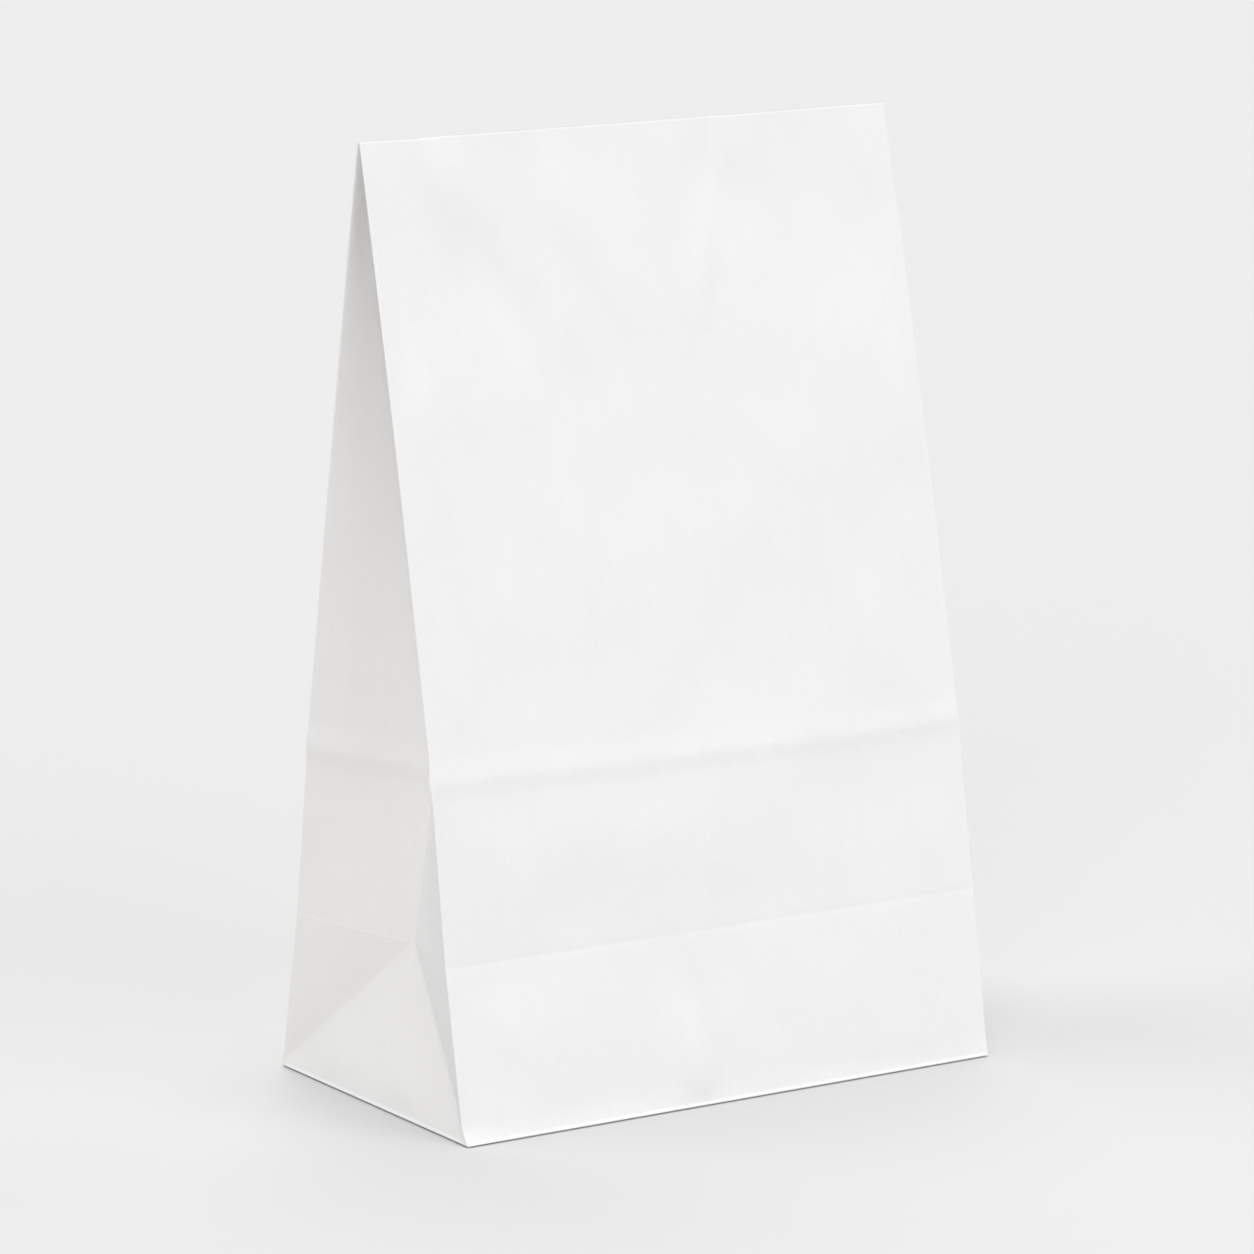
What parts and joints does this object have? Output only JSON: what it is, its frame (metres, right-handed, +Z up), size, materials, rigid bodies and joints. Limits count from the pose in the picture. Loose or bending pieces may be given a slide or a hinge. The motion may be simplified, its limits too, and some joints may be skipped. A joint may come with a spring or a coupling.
{
  "type": "block bottom paper bag",
  "caption": "Plain white paper bag with a flat folded base and side gussets, standing empty with its mouth pressed closed.",
  "frame": {"origin": "middle of the base, on the surface that the bag stands on", "axes": "+Z up the bag towards its mouth, +X to the right along the width of the front panel, -Y towards the front"},
  "size_m": [0.18, 0.1, 0.2739],
  "materials": {
    "white_paper": "matte uncoated white kraft paper with a fine grain"
  },
  "bodies": {
    "root": {"paper_bag": "white_paper"}
  },
  "joints": []
}
